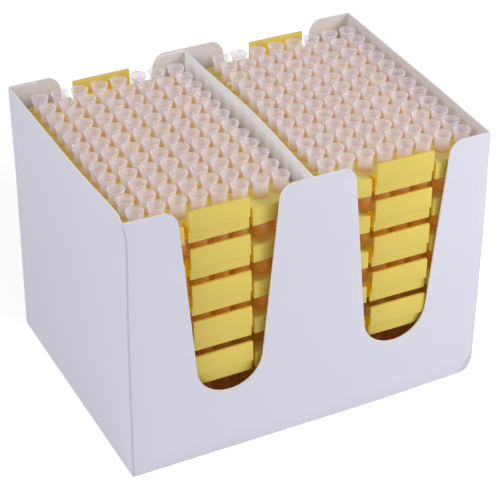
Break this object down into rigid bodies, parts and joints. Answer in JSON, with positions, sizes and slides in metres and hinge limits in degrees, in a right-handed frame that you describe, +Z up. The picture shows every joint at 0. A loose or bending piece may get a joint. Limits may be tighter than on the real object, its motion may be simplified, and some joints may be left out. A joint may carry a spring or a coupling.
{
  "type": "box of pipette tips",
  "caption": "Open white board carton with finger cut-outs and a divider, holding two stacks of yellow racks, each full of nested pipette tips.",
  "frame": {"origin": "middle of the carton's underside", "axes": "+X along the carton's long side, +Y from the front wall to the back wall, +Z up"},
  "size_m": [0.1642, 0.1228, 0.1227],
  "materials": {
    "board": "white coated carton board",
    "rack_plastic": "yellow moulded plastic, slightly translucent",
    "tip_plastic": "natural milky plastic, translucent"
  },
  "bodies": {
    "root": {"carton": "board", "divider": "board", "rack_left_1": "rack_plastic", "rack_left_2": "rack_plastic", "rack_left_3": "rack_plastic", "rack_left_4": "rack_plastic", "rack_left_5": "rack_plastic", "rack_right_1": "rack_plastic", "rack_right_2": "rack_plastic", "rack_right_3": "rack_plastic", "rack_right_4": "rack_plastic", "rack_right_5": "rack_plastic", "tips_left_1": "tip_plastic", "tips_left_2": "tip_plastic", "tips_left_3": "tip_plastic", "tips_left_4": "tip_plastic", "tips_left_5": "tip_plastic", "tips_right_1": "tip_plastic", "tips_right_2": "tip_plastic", "tips_right_3": "tip_plastic", "tips_right_4": "tip_plastic", "tips_right_5": "tip_plastic"}
  },
  "joints": []
}
